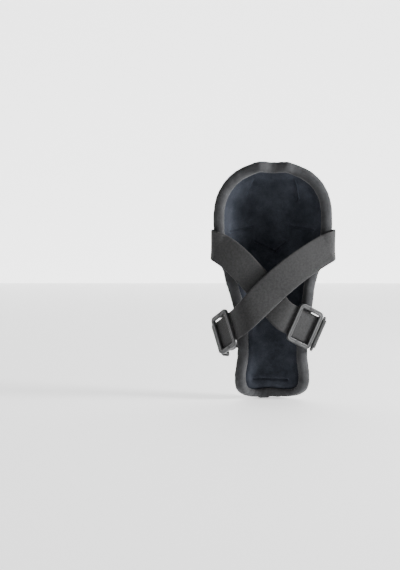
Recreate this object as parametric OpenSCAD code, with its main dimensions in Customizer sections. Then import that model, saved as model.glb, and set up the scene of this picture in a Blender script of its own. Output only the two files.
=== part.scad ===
// Forearm and elbow guard: a padded trough with a deep elbow cup at its upper end,
// hard plates riveted outside, and two elastic straps that cross over the arm.
// +Z runs up the forearm towards the elbow, the open (arm) side faces -Y, and the
// origin is on the rim plane at the middle of the wrist end.

/* [Pad] */
// Length from the wrist end to the top of the cup
guard_length = 305; // [270:1:370]
// Width over the elbow cup
cup_width = 153; // [130:1:185]
// Height of the cup above its widest line
cup_rise = 77; // [64:1:93]
// Width over the wrist end
wrist_width = 97; // [80:1:117]
// Width at the narrowest place above the wrist
narrow_width = 90; // [74:1:96]
// Height of the narrowest place
narrow_z = 57; // [46:1:69]
// Height of the rounded corners at the wrist end
corner_z = 30; // [20:1:40]
// How far the pad wraps the arm at the wrist, each way from the middle, in degrees
wrist_wrap = 66; // [54:1:79]
// How far the pad wraps the elbow, each way from the middle, in degrees
cup_wrap = 77; // [64:1:80]
// Thickness of the whole pad
pad_t = 10; // [8:0.5:13]
// Thickness of the lining
lining_t = 1.8; // [1:0.1:2.4]
// Thickness of the outer cover
cover_t = 1; // [0.6:0.1:1.5]
// Width of the edge binding on each face
bind_w = 11; // [8:0.5:14]
// Gap left at the waist so that the cup can bend on the forearm
waist_gap = 7; // [6:0.5:9]

/* [Hard plates] */
// Thickness of the plates
plate_t = 2.5; // [1.8:0.1:3.5]
// How far the forearm plate wraps, each way from the middle, in degrees
plate_wrap = 44; // [36:1:48]
// Height of the forearm plate's lower edge
plate_low = 26; // [22:1:34]
// Height of the forearm plate's upper edge
plate_high = 204; // [160:1:212]
// Radius of a rivet's shank
rivet_r = 2; // [1.5:0.1:2.5]
// Radius of a rivet's head
rivet_head_r = 4.5; // [3.6:0.1:5.5]

/* [Straps and buckles] */
// Width of the elastic straps
strap_w = 38; // [32:1:40]
// Thickness of the elastic
strap_t = 1.6; // [1.2:0.1:1.9]
// Height at which the straps fold over the rim
strap_z = 199; // [190:1:202]
// Height at which the straps cross
cross_z = 147; // [140:1:156]
// Height of the left buckle
buckle_z_left = 88; // [80:1:96]
// Height of the right buckle
buckle_z_right = 96; // [88:1:100]
// Length of a buckle along the strap
buckle_l = 36; // [34:0.5:40]
// Width of a buckle's side bars
bar_w = 5.5; // [4.5:0.1:6.5]
// Diameter of a ring's wire
wire_d = 4; // [3:0.1:4.8]
// Distance between the ring's two long bars
ring_l = 13; // [11.5:0.5:16]

/* [Hidden] */
$fn = 48;
cup_half = cup_width / 2;
wrist_half = wrist_width / 2;
narrow_half = narrow_width / 2;
cup_z = guard_length - cup_rise;
cup_n = 2.4;              // squareness of the cup's outline
corner_n = 3.5;           // squareness of the wrist end's corners
rise_n = 1.35;            // how late the forearm widens towards the cup
layer_gap = 0.05;
butt_gap = 2;             // between the edge binding and the layers that meet it
skin_gap = 0.9;           // gap between the cover and what is fastened on it
fit = 0.05;
foam_in = -pad_t + lining_t;
top_half = 22;            // half length of the nearly straight top edge
end_half = 22;            // half length of the nearly straight wrist edge

// ---- the pad's outer surface, as a depth over the rim plane ----
function smooth(t) = let (s = max(0, min(1, t))) s * s * (3 - 2 * s);
function half_w(z) = z < narrow_z
    ? narrow_half + (wrist_half - narrow_half) * smooth((narrow_z - z) / (narrow_z - corner_z))
    : narrow_half + (cup_half - narrow_half)
        * pow(smooth((z - narrow_z) / (cup_z - narrow_z)), rise_n);
function wrap(z) = wrist_wrap + (cup_wrap - wrist_wrap) * smooth((z - corner_z) / 100);
function sec_r(z) = half_w(z) / sin(wrap(z));
function cup_rho(x, z) = pow(pow(abs(x) / cup_half, cup_n)
    + pow(abs(z - cup_z) / cup_rise, cup_n), 1 / cup_n);
function arc_depth(r, x, angle) = sqrt(max(1, r * r - x * x)) - r * cos(angle);
function depth(x, z) = z < cup_z ? arc_depth(sec_r(z), x, wrap(z))
    : arc_depth(cup_half / sin(cup_wrap), cup_rho(x, z) * cup_half, cup_wrap);
function normal(x, z) = let (h = 0.2,
        n = [-(depth(x + h, z) - depth(x - h, z)) / (2 * h), 1,
             -(depth(x, z + h) - depth(x, z - h)) / (2 * h)])
    n / norm(n);
// A point t outside the pad's outer surface
function on_pad(x, z, t) = [x, depth(x, z), z] + t * normal(x, z);

// How far the outline draws in over a width m of the surface, seen from the front
function turn(m, r) = m / r * 180 / PI;
function side_in(z, m) = half_w(z) - sec_r(z) * sin(wrap(z) - turn(m, sec_r(z)));
function cup_share(m) = sin(cup_wrap - turn(m, cup_half / sin(cup_wrap))) / sin(cup_wrap);

// Half width of the pad's outline at height z, drawn in by m of the surface
function low_half(z, m) = let (k = min(1, max(0, (corner_z - z) / (corner_z - m))))
    max(end_half - m / 2, (wrist_half - side_in(z, m)) * pow(1 - pow(k, corner_n), 1 / corner_n));
function high_half(z, m) = let (k = min(1, max(0, (z - cup_z) / (cup_rise * cup_share(m)))))
    max(top_half - m / 2, cup_half * cup_share(m) * pow(1 - pow(k, cup_n), 1 / cup_n));
function outline(z, m) = z < corner_z ? low_half(z, m)
    : z < cup_z ? half_w(z) - side_in(z, m) : high_half(z, m);

// ---- solids built on the surface ----
function flat(lists) = [for (l = lists) for (p = l) p];

// Closed solid between two equal grids of points, inner one first
module slab(inner, outer) {
    rows = len(inner);
    cols = len(inner[0]);
    off = rows * cols;
    function at(r, c) = r * cols + c;
    faces = concat(
        [for (r = [0:rows - 2]) for (c = [0:cols - 2])
            [at(r, c), at(r + 1, c + 1), at(r, c + 1)]],
        [for (r = [0:rows - 2]) for (c = [0:cols - 2])
            [at(r, c), at(r + 1, c), at(r + 1, c + 1)]],
        [for (r = [0:rows - 2]) for (c = [0:cols - 2])
            [off + at(r, c), off + at(r, c + 1), off + at(r + 1, c + 1)]],
        [for (r = [0:rows - 2]) for (c = [0:cols - 2])
            [off + at(r, c), off + at(r + 1, c + 1), off + at(r + 1, c)]],
        [for (c = [0:cols - 2]) each edge(at(0, c), at(0, c + 1), off)],
        [for (c = [0:cols - 2]) each edge(at(rows - 1, c + 1), at(rows - 1, c), off)],
        [for (r = [0:rows - 2]) each edge(at(r + 1, 0), at(r, 0), off)],
        [for (r = [0:rows - 2]) each edge(at(r, cols - 1), at(r + 1, cols - 1), off)]);
    polyhedron(concat(flat(inner), flat(outer)), faces);
}
function edge(a, b, off) = [[a, b, b + off], [a, b + off, a + off]];

// Layer of the pad over a grid of [x, z] places, between offsets t0 and t1
module layer(grid, t0, t1) {
    slab([for (row = grid) [for (p = row) on_pad(p[0], p[1], t0)]],
         [for (row = grid) [for (p = row) on_pad(p[0], p[1], t1)]]);
}
function span(lo, hi, n) = [for (i = [0:n]) lo + (hi - lo) * i / n];
// Heights that crowd together towards the rounded ends
function forearm_rows(m) = concat(
    [for (a = [0:15:75]) corner_z - (corner_z - m) * cos(a)],
    span(corner_z, cup_z - waist_gap / 2, 11));
function cup_rows(m) = concat([cup_z + waist_gap / 2],
    [for (a = [12:13:90]) cup_z + cup_rise * cup_share(m) * sin(a)],
    [cup_z + cup_rise * cup_share(m)]);
function row(z, half, n) = [for (i = [-n:n]) [half * sin(90 * i / n), z]];
function forearm_grid(m) = [for (z = forearm_rows(m)) row(z, outline(z, m), 7)];
function cup_grid(m) = [for (z = cup_rows(m)) row(z, outline(z, m), 8)];

// Rim stations: the outline's own points from one side of the waist to the other
function corner_point(a, m) = [
    (wrist_half - side_in(0, m)) * sign(cos(a)) * pow(abs(cos(a)), 2 / corner_n),
    corner_z - (corner_z - m) * pow(abs(sin(a)), 2 / corner_n)];
function cup_point(a, m) = [
    cup_half * cup_share(m) * sign(cos(a)) * pow(abs(cos(a)), 2 / cup_n),
    cup_z + cup_rise * cup_share(m) * pow(max(0, sin(a)), 2 / cup_n)];
function forearm_rim(m) = concat(
    [for (z = span(cup_z - waist_gap / 2, corner_z + 6, 10)) [half_w(z) - side_in(z, m), z]],
    [for (a = [0:9:180]) corner_point(a, m)],
    [for (z = span(corner_z + 6, cup_z - waist_gap / 2, 10)) [side_in(z, m) - half_w(z), z]]);
rim_lift = asin(pow(waist_gap / 2 / cup_rise, cup_n / 2));
function cup_rim(m) = [for (a = span(180 - rim_lift, rim_lift, 30))
    let (p = cup_point(a, m)) [p[0], max(p[1], cup_z + waist_gap / 2)]];

// Edge binding: a solid band over the pad's edge, its section rounded at the front
bind_out = 0.5;           // how far the binding stands out from both faces
bind_front = 1.4;         // how far its rounded edge stands past the pad's
module binding(rim, back) {
    n = len(rim);
    ring = [for (i = [0:n - 1])
        let (p = rim[i], q = back[i],
             face = on_pad(p[0], p[1], 0) - on_pad(q[0], q[1], 0), m = face / norm(face),
             t0 = -pad_t - bind_out, t1 = bind_out)
        [on_pad(q[0], q[1], t1),
         on_pad(p[0], p[1], t1),
         on_pad(p[0], p[1], t1 - pad_t * 0.3) + m * bind_front,
         on_pad(p[0], p[1], t0 + pad_t * 0.3) + m * bind_front,
         on_pad(p[0], p[1], t0),
         on_pad(q[0], q[1], t0)]];
    tube(ring);
}
// Closed solid from equal rings of points
module tube(rings) {
    n = len(rings);
    k = len(rings[0]);
    faces = concat([[for (j = [0:k - 1]) j]],
        [[for (j = [k - 1:-1:0]) (n - 1) * k + j]],
        [for (i = [0:n - 2]) for (j = [0:k - 1]) [i * k + j, (i + 1) * k + j, (i + 1) * k + (j + 1) % k]],
        [for (i = [0:n - 2]) for (j = [0:k - 1])
            [i * k + j, (i + 1) * k + (j + 1) % k, i * k + (j + 1) % k]]);
    polyhedron(flat(rings), faces);
}

module forearm_lining() {
    color("#3a4048") layer(forearm_grid(bind_w + butt_gap), -pad_t, foam_in - layer_gap);
}
module forearm_foam() {
    color("#1c1c1e") layer(forearm_grid(bind_w + butt_gap), foam_in, -cover_t - layer_gap);
}
module forearm_cover() {
    color("#2a2a2c") layer(forearm_grid(bind_w + butt_gap), -cover_t, 0);
}
module forearm_binding() {
    color("#4a4a4c") binding(forearm_rim(0), forearm_rim(bind_w));
}
module cup_lining() {
    color("#3a4048") layer(cup_grid(bind_w + butt_gap), -pad_t, foam_in - layer_gap);
}
module cup_foam() {
    color("#1c1c1e") layer(cup_grid(bind_w + butt_gap), foam_in, -cover_t - layer_gap);
}
module cup_cover() {
    color("#2a2a2c") layer(cup_grid(bind_w + butt_gap), -cover_t, 0);
}
module cup_binding() {
    color("#4a4a4c") binding(cup_rim(0), cup_rim(bind_w));
}

// ---- hard plates and their rivets ----
plate_in = skin_gap;
plate_out = skin_gap + plate_t;
plate_corner = 22;        // height over which the forearm plate's ends round off
function plate_half(z) = let (
        end = min(z - plate_low, plate_high - z) / plate_corner,
        k = 1 - pow(1 - min(1, max(0, end)), 3))
    sec_r(z) * sin(plate_wrap) * (0.62 + 0.38 * k);
cup_plate_low = cup_z + waist_gap / 2 + 3;
cup_plate_share = 0.84;   // size of the cup plate's outline beside the cup's own
cup_plate_top = cup_z + cup_rise * cup_plate_share;
function cup_plate_half(z) = let (k = (z - cup_z) / (cup_plate_top - cup_z))
    max(top_half * 0.7, cup_half * 0.8 * pow(max(0, 1 - pow(k, cup_n)), 1 / cup_n));
module bored(places) {
    difference() {
        children();
        for (p = places) on_surface(p) cylinder(r = rivet_r + fit, h = 40, center = true);
    }
}
// Puts its children on the pad's outer surface at p, with +Z along the outward normal
module on_surface(p) {
    n = normal(p[0], p[1]);
    translate(on_pad(p[0], p[1], 0)) rotate([0, acos(n[2]), atan2(n[1], n[0])]) children();
}
module rivet() {
    seat = plate_out + 0.1;
    translate([0, 0, seat]) intersection() {
        translate([0, 0, -5.5]) sphere(r = norm([rivet_head_r, 5.5]));
        cylinder(r = rivet_head_r, h = 3);
    }
    translate([0, 0, washer_low]) cylinder(r = rivet_r, h = seat + 0.2 - washer_low);
}
module washer() {
    translate([0, 0, washer_low]) difference() {
        cylinder(r = rivet_head_r + 1.5, h = 0.8);
        translate([0, 0, -1]) cylinder(r = rivet_r + fit, h = 3);
    }
}
washer_low = foam_in + 0.6;
forearm_rivet_at = [for (z = [plate_low + 16, plate_high - 20]) for (s = [-1, 1])
    [s * sec_r(z) * sin(plate_wrap * 0.6), z]];
cup_rivet_at = [for (s = [-1, 1]) each
    [[s * cup_half * 0.5, cup_plate_low + 9], [s * cup_half * 0.22, cup_plate_top - 13]]];

module forearm_plate() {
    rows = span(plate_low, plate_high, 18);
    color("#1a1a1c") bored(forearm_rivet_at)
        layer([for (z = rows) row(z, plate_half(z), 8)], plate_in, plate_out);
}
module cup_plate() {
    rows = concat([cup_plate_low], [for (a = [15:10:75])
        cup_z + (cup_plate_top - cup_z) * sin(a)], [cup_plate_top - 0.5]);
    color("#1a1a1c") bored(cup_rivet_at)
        layer([for (z = rows) row(z, cup_plate_half(z), 9)], plate_in, plate_out);
}
module forearm_rivets() {
    color("#8a8a8e") for (p = forearm_rivet_at) on_surface(p) rivet();
}
module cup_rivets() {
    color("#8a8a8e") for (p = cup_rivet_at) on_surface(p) rivet();
}
module forearm_washers() {
    color("#8a8a8e") for (p = forearm_rivet_at) on_surface(p) washer();
}
module cup_washers() {
    color("#8a8a8e") for (p = cup_rivet_at) on_surface(p) washer();
}

// ---- straps: each is worked out as it runs towards -X, and the right one is mirrored ----
function along(h, a) = [cos(h) * cos(a), sin(h) * cos(a), sin(a)];
function across(h, a) = [-cos(h) * sin(a), -sin(h) * sin(a), cos(a)];
// Where a buckle sits: centre, heading, slope
buckle_half = buckle_l / 2;
side_off = 14;            // left buckle's distance outside the rim
face_off = 9;             // right buckle's distance inside the rim
left_at = [[-half_w(buckle_z_left) - side_off, -5, buckle_z_left], 125, -28];
right_at = [[-half_w(buckle_z_right) + face_off, -17, buckle_z_right], 160, -26];
left_cross = [1, -24, cross_z];
right_cross = [14, -16, cross_z - 4];
run_up = buckle_half + 6;     // straight strap before a buckle's centre
run_on = 21;                  // straight strap past it, up to the ring
ring_x = 24;                  // the ring's near bar beyond the buckle's centre
turn_r = wire_d / 2 + 0.2 + strap_t / 2;   // radius of the strap's turn round that bar

// Stations of a cubic curve between two keys [place, heading, slope]
function bend(k0, k1, n) = let (d = norm(k1[0] - k0[0]) * 0.36,
        a = k0[0], b = k0[0] + d * along(k0[1], k0[2]),
        c = k1[0] - d * along(k1[1], k1[2]), e = k1[0])
    [for (i = [0:n - 1]) let (t = i / n, u = 1 - t)
        [u * u * u * a + 3 * u * u * t * b + 3 * u * t * t * c + t * t * t * e,
         k0[1] + (k1[1] - k0[1]) * t, k0[2] + (k1[2] - k0[2]) * t]];
function run(key, x) = [key[0] + x * along(key[1], key[2]), key[1], key[2]];
fold_x = half_w(strap_z + strap_w / 2) + 2.4;
// strap's middle over the cover where it is sewn, clear of the pad's taper under its upper edge
strap_stand = max(3.7, sec_r(strap_z + strap_w / 2) - sec_r(strap_z) + 0.9);
function sewn_key(angle, a, dz) = let (r = sec_r(strap_z) + strap_stand, z = strap_z + dz)
    [[r * sin(angle), r * cos(angle) - sec_r(strap_z) * cos(wrap(strap_z)), z],
     360 - angle, a];
function strap_keys(at, cross_at, cross_a) = [
    sewn_key(54, 0, 1), sewn_key(cup_wrap - 8, -5, 0.6),
    [[fold_x, -1, strap_z + 0.3], 268, -14],
    [[fold_x - 9, -9, strap_z - 4], 195, -28],
    [cross_at, 180, cross_a],
    run(at, -run_up), run(at, run_on)];
function strap_stations(keys) = concat([for (i = [0:len(keys) - 2]) each
    bend(keys[i], keys[i + 1], [3, 2, 5, 7, 8, 2][i])], [keys[len(keys) - 1]]);
module band(stations, w, t) {
    tube([for (s = stations) let (b = across(s[1], s[2]), n = cross(along(s[1], s[2]), b))
        [s[0] - b * w / 2 - n * t / 2, s[0] + b * w / 2 - n * t / 2,
         s[0] + b * w / 2 + n * t / 2, s[0] - b * w / 2 + n * t / 2]]);
}
// Children in a buckle's own frame: +X along the strap, +Y across it, +Z to the pad
module in_frame(at) {
    t = along(at[1], at[2]);
    b = across(at[1], at[2]);
    n = cross(t, b);
    multmatrix([[t[0], b[0], n[0], at[0][0]], [t[1], b[1], n[1], at[0][1]],
                [t[2], b[2], n[2], at[0][2]]]) children();
}
module sideways(w) {
    rotate([90, 0, 0]) linear_extrude(height = w, center = true) children();
}

module strap_left() {
    color("#333335") band(strap_stations(strap_keys(left_at, left_cross, -42)), strap_w, strap_t);
}
module strap_right() {
    color("#333335") mirror([1, 0, 0])
        band(strap_stations(strap_keys(right_at, right_cross, -46)), strap_w, strap_t);
}

// Sliding buckle: side bars outside the strap, middle bar behind it
slot_gap = 0.3;
bar_t = 4;
loop_t = 1.4;
middle_w = 5;
middle_t = 3;
window_w = strap_w + 2;
middle_z = strap_t / 2 + slot_gap + loop_t + slot_gap;   // near face of the middle bar
buckle_w = window_w + 2 * bar_w;
module rounded(l, w, r) {
    square([l - 2 * r, w], center = true);
    square([l, w - 2 * r], center = true);
    for (x = [-1, 1]) for (y = [-1, 1])
        translate([x * (l / 2 - r), y * (w / 2 - r)]) circle(r);
}
module buckle() {
    low = -strap_t / 2 - slot_gap - bar_t;
    translate([0, 0, low]) linear_extrude(bar_t) difference() {
        rounded(buckle_l, buckle_w, 5);
        rounded(buckle_l - 2 * bar_w, window_w, 2);
    }
    for (s = [-1, 1]) translate([-4.5, s * (window_w + bar_w) / 2 - bar_w / 2, low + 1])
        cube([9, bar_w, middle_z + middle_t - low - 1]);
    translate([-middle_w / 2, -window_w / 2 - 1, middle_z])
        cube([middle_w, window_w + 2, middle_t]);
}
module strap_end() {
    wrap_in = 0.15;
    out = wrap_in + loop_t;
    sideways(strap_w) difference() {
        translate([-middle_w / 2 - out, middle_z - out])
            square([middle_w + 2 * out + 3, middle_t + 2 * out]);
        translate([-middle_w / 2 - wrap_in, middle_z - wrap_in])
            square([middle_w + 2 * wrap_in, middle_t + 2 * wrap_in]);
        translate([middle_w / 2 + out, middle_z - out - 1])
            square([9, middle_t + out + 1 + wrap_in]);
    }
}
// Ring: a wire rectangle, its near bar in the strap's turn, its far bar in the tab
ring_turn_left = 70;          // ring's lean towards the pad, in degrees from the strap
ring_turn_right = 62;
near_z = turn_r;
function far_x(lean) = ring_x + ring_l * cos(lean);
function far_z(lean) = near_z + ring_l * sin(lean);
ring_half = strap_w / 2 + 1 + wire_d / 2;
module ring(lean) {
    translate([ring_x, 0, near_z]) rotate([0, -lean, 0]) {
        for (x = [0, ring_l]) translate([x, -ring_half, 0]) rotate([-90, 0, 0])
            cylinder(r = wire_d / 2, h = 2 * ring_half);
        for (y = [-1, 1]) translate([0, y * ring_half, 0]) rotate([0, 90, 0])
            cylinder(r = wire_d / 2, h = ring_l);
        for (x = [0, ring_l]) for (y = [-1, 1]) translate([x, y * ring_half, 0])
            sphere(r = wire_d / 2);
    }
}
module strap_turn() {
    sideways(strap_w) translate([ring_x, near_z]) {
        difference() {
            circle(turn_r + strap_t / 2);
            circle(turn_r - strap_t / 2);
            translate([-20, -20]) square([20, 40]);
        }
        for (s = [-1, 1]) translate([-1.5, s * turn_r - strap_t / 2]) square([1.5, strap_t]);
    }
}
// Tab: webbing sewn on the cover, looped round the ring's far bar
tab_w = 26;
tab_t = 1.4;
tab_drop = 9;                 // tab's seat on the pad, below its buckle
tab_seat_wrap = 14;           // how far the sewn seat reaches round the pad, in degrees
module tab(at, lean, seat_wrap) {
    t = along(at[1], at[2]);
    n = cross(t, across(at[1], at[2]));
    seat_z = at[0][2] - tab_drop;
    reach = on_pad(-sec_r(seat_z) * sin(seat_wrap - 4), seat_z, skin_gap + tab_t + 1.5) - at[0];
    bar = [far_x(lean), far_z(lean)];
    away = [reach * t, reach * n] - bar;
    loop_r = wire_d / 2 + 0.1 + tab_t;
    in_frame(at) sideways(tab_w) translate(bar) {
        difference() {
            circle(loop_r);
            circle(wire_d / 2 + 0.1);
        }
        rotate(atan2(away[1], away[0])) translate([loop_r - tab_t / 2, -tab_t / 2])
            square([norm(away) - loop_r + tab_t / 2, tab_t]);
    }
    layer([for (z = span(seat_z - tab_w / 2, seat_z + tab_w / 2, 3))
        [for (i = [0:3]) [-sec_r(z) * sin(seat_wrap - tab_seat_wrap * i / 3), z]]],
        skin_gap, skin_gap + tab_t);
}
seat_wrap_left = 62;
seat_wrap_right = 62;
module tab_left() { color("#333335") tab(left_at, ring_turn_left, seat_wrap_left); }
module tab_right() {
    color("#333335") mirror([1, 0, 0]) tab(right_at, ring_turn_right, seat_wrap_right);
}
module buckle_left() { color("#2b2b2d") in_frame(left_at) buckle(); }
module buckle_right() { color("#2b2b2d") mirror([1, 0, 0]) in_frame(right_at) buckle(); }
module strap_end_left() { color("#333335") in_frame(left_at) strap_end(); }
module strap_end_right() { color("#333335") mirror([1, 0, 0]) in_frame(right_at) strap_end(); }
module ring_left() { color("#202022") in_frame(left_at) ring(ring_turn_left); }
module ring_right() { color("#202022") mirror([1, 0, 0]) in_frame(right_at) ring(ring_turn_right); }
module strap_turn_left() { color("#333335") in_frame(left_at) strap_turn(); }
module strap_turn_right() { color("#333335") mirror([1, 0, 0]) in_frame(right_at) strap_turn(); }

forearm_lining();
forearm_foam();
forearm_cover();
forearm_binding();
forearm_plate();
forearm_rivets();
forearm_washers();
cup_lining();
cup_foam();
cup_cover();
cup_binding();
cup_plate();
cup_rivets();
cup_washers();
strap_left();
strap_right();
tab_left();
tab_right();
buckle_left();
strap_end_left();
buckle_right();
strap_end_right();
ring_left();
strap_turn_left();
ring_right();
strap_turn_right();
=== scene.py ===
"""Forearm and elbow guard: the looks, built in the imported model's own frame, in metres."""
import math

import bmesh
import bpy
from mathutils import Matrix, Vector, noise


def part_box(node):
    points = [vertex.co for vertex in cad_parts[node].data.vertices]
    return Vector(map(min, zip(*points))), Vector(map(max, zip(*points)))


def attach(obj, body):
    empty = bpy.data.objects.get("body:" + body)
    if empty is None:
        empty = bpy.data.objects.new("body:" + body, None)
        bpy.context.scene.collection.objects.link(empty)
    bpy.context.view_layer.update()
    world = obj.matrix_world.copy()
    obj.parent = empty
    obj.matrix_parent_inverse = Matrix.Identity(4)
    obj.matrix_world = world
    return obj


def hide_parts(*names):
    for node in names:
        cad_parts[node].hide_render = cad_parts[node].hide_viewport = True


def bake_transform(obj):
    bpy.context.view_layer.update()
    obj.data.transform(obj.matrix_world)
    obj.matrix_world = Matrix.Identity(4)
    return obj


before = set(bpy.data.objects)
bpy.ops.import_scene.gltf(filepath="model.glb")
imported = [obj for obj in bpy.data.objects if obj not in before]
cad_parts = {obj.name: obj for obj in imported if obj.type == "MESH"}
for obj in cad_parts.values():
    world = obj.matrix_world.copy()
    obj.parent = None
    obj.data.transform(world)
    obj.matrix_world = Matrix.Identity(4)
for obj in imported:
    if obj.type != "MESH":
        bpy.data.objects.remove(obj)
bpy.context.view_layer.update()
MM = 0.001

# ---- sizes: from the frame where a node shows them, else the pad's own driving sizes ----
PAD_T = 10 * MM
BIND_W = 11 * MM
BIND_OUT = 0.5 * MM
CUP_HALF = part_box("cup_binding")[1][0] - BIND_OUT
GUARD_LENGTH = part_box("cup_binding")[1][2] - 1.3 * MM
CUP_RISE = 77 * MM
CUP_Z = GUARD_LENGTH - CUP_RISE
WRIST_HALF = 48.5 * MM
NARROW_HALF = 45 * MM
NARROW_Z = 57 * MM
CORNER_Z = 30 * MM
WRIST_WRAP = math.radians(66)
CUP_WRAP = math.radians(77)
CUP_N, CORNER_N, RISE_N = 2.4, 3.5, 1.35
STRAP_W, STRAP_T, STRAP_Z, CROSS_Z = 38 * MM, 1.6 * MM, 199 * MM, 147 * MM


# ---- the pad's outer surface ----
def smooth(t):
    s = max(0.0, min(1.0, t))
    return s * s * (3 - 2 * s)


def half_w(z):
    if z < NARROW_Z:
        return NARROW_HALF + (WRIST_HALF - NARROW_HALF) * smooth((NARROW_Z - z) / (NARROW_Z - CORNER_Z))
    rise = smooth((z - NARROW_Z) / (CUP_Z - NARROW_Z)) ** RISE_N
    return NARROW_HALF + (CUP_HALF - NARROW_HALF) * rise


def wrap(z):
    return WRIST_WRAP + (CUP_WRAP - WRIST_WRAP) * smooth((z - CORNER_Z) / 0.1)


def sec_r(z):
    return half_w(z) / math.sin(wrap(z))


def depth(x, z):
    """How far behind the rim plane the outer surface lies."""
    if z < CUP_Z:
        r, angle, across = sec_r(z), wrap(z), x
    else:
        rho = ((abs(x) / CUP_HALF) ** CUP_N + ((z - CUP_Z) / CUP_RISE) ** CUP_N) ** (1 / CUP_N)
        r, angle, across = CUP_HALF / math.sin(CUP_WRAP), CUP_WRAP, rho * CUP_HALF
    return math.sqrt(max(1e-6, r * r - across * across)) - r * math.cos(angle)


def normal(x, z):
    h = 0.2 * MM
    n = Vector((depth(x - h, z) - depth(x + h, z), 2 * h, depth(x, z - h) - depth(x, z + h)))
    return n.normalized()


def on_pad(x, z, t):
    """The point t outside the pad's outer surface at the place x, z."""
    return Vector((x, depth(x, z), z)) + normal(x, z) * t


def super_point(a, half, rise, n):
    c, s = math.cos(a), math.sin(a)
    return (half * math.copysign(abs(c) ** (2 / n), c), rise * max(0.0, abs(s)) ** (2 / n))


def rim_outline():
    """The closed outline of the rim as [x, z], anticlockwise from the right of the waist."""
    line = []
    for i in range(120):
        x, z = super_point(math.pi * i / 120, CUP_HALF, CUP_RISE, CUP_N)
        line.append((x, CUP_Z + z))
    side = [CUP_Z + (CORNER_Z - CUP_Z) * i / 80 for i in range(80)]
    line += [(-half_w(z), z) for z in side]
    for i in range(90):
        x, z = super_point(math.pi * i / 90, WRIST_HALF, CORNER_Z, CORNER_N)
        line.append((-x, CORNER_Z - z))
    line += [(half_w(z), z) for z in reversed(side)]
    return line


def resample(line, count):
    """Points spaced evenly along a closed line in space, with the plane places kept."""
    places = [Vector(p) for p in line]
    space = [on_pad(p[0], p[1], 0) for p in line]
    steps = [(space[(i + 1) % len(space)] - space[i]).length for i in range(len(space))]
    total = sum(steps)
    out, i, done = [], 0, 0.0
    for k in range(count):
        goal = total * k / count
        while done + steps[i] < goal:
            done += steps[i]
            i += 1
        f = (goal - done) / max(steps[i], 1e-12)
        out.append(places[i].lerp(places[(i + 1) % len(places)], f))
    return out


STATIONS = 480
NOTCH_Z = 164 * MM        # where the cup's panel is sewn to the forearm's
CROWN_X = 19 * MM         # where the rim bends beside the crown


def sewn_rim(p):
    """The rim as sewn: notched at the waist, drawn in below it on the right, its crown a little flatter."""
    pull = 0.015 * math.exp(-((p[1] - NOTCH_Z) / (6 * MM)) ** 2)
    shoulder = 0.006 * math.exp(-((p[1] - NOTCH_Z + 17 * MM) / (12 * MM)) ** 2)
    if p[0] > 0:
        shoulder = -0.05 * math.exp(-((p[1] - NOTCH_Z + 14 * MM) / (20 * MM)) ** 2)
    uneven = noise.noise(Vector((p[0] * 22, p[1] * 22, 5.5))) * 0.9 * MM
    out = Vector((p[0] * (1 - pull + shoulder), p[1]))
    if p[1] > CUP_Z:
        bend = math.exp(-((abs(p[0]) - CROWN_X) / (9 * MM)) ** 2) * 0.9 * MM
        flat = math.exp(-(p[0] / (11 * MM)) ** 2) * 0.6 * MM
        out[1] += (bend - flat) * smooth((p[1] - CUP_Z - 40 * MM) / (20 * MM))
    away = (out - spine_of(out)).normalized()
    return out + away * uneven


def spine_of(p):
    return Vector((0.0, min(max(p[1], CORNER_Z + 14 * MM), CUP_Z)))


RIM = resample([sewn_rim(Vector(p)) for p in rim_outline()], STATIONS)


def ray(p, share):
    """A place between the spine and the rim, evenly spaced over the curved surface."""
    q = spine_of(p)
    return q + (p - q) * (math.sin(CUP_WRAP * share) / math.sin(CUP_WRAP))


def rays():
    """For each rim station, its places from the rim inwards with their distance over the surface."""
    out = []
    for p in RIM:
        places = [ray(p, 1 - i / 60) for i in range(61)]
        space = [on_pad(q[0], q[1], 0) for q in places]
        far = [0.0]
        for a, b in zip(space, space[1:]):
            far.append(far[-1] + (b - a).length)
        out.append((places, far))
    return out


RAYS = rays()


def inset(i, m):
    """The place at distance m inside the rim at station i."""
    places, far = RAYS[i % STATIONS]
    for k in range(60):
        if far[k + 1] >= m:
            return places[k].lerp(places[k + 1], (m - far[k]) / (far[k + 1] - far[k]))
    return places[-1]


# ---- mesh helpers ----
def make_object(name, verts, faces, smooth_shade=True):
    mesh = bpy.data.meshes.new(name)
    mesh.from_pydata([tuple(v) for v in verts], [], faces)
    mesh.update()
    bm = bmesh.new()
    bm.from_mesh(mesh)
    bmesh.ops.remove_doubles(bm, verts=bm.verts, dist=1e-6)
    bmesh.ops.dissolve_degenerate(bm, edges=bm.edges, dist=1e-7)
    bmesh.ops.recalc_face_normals(bm, faces=bm.faces)
    bm.to_mesh(mesh)
    bm.free()
    for poly in mesh.polygons:
        poly.use_smooth = smooth_shade
    obj = bpy.data.objects.new(name, mesh)
    bpy.context.scene.collection.objects.link(obj)
    return obj


def sweep(name, rings, closed=False):
    """A skin over equal rings of points, capped at both ends unless it closes on itself."""
    n, k = len(rings), len(rings[0])
    verts = [p for ring in rings for p in ring]
    faces = []
    for i in range(n if closed else n - 1):
        j = (i + 1) % n
        faces += [(i * k + a, j * k + a, j * k + (a + 1) % k, i * k + (a + 1) % k) for a in range(k)]
    if not closed:
        faces += [tuple(range(k - 1, -1, -1)), tuple((n - 1) * k + a for a in range(k))]
    return make_object(name, verts, faces)


def add_modifier(obj, kind, **settings):
    m = obj.modifiers.new(kind.lower(), kind)
    for key, value in settings.items():
        setattr(m, key, value)
    return m


def apply_modifiers(obj):
    depsgraph = bpy.context.evaluated_depsgraph_get()
    mesh = bpy.data.meshes.new_from_object(obj.evaluated_get(depsgraph))
    obj.modifiers.clear()
    obj.data = mesh
    for poly in mesh.polygons:
        poly.use_smooth = True
    return obj


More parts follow.
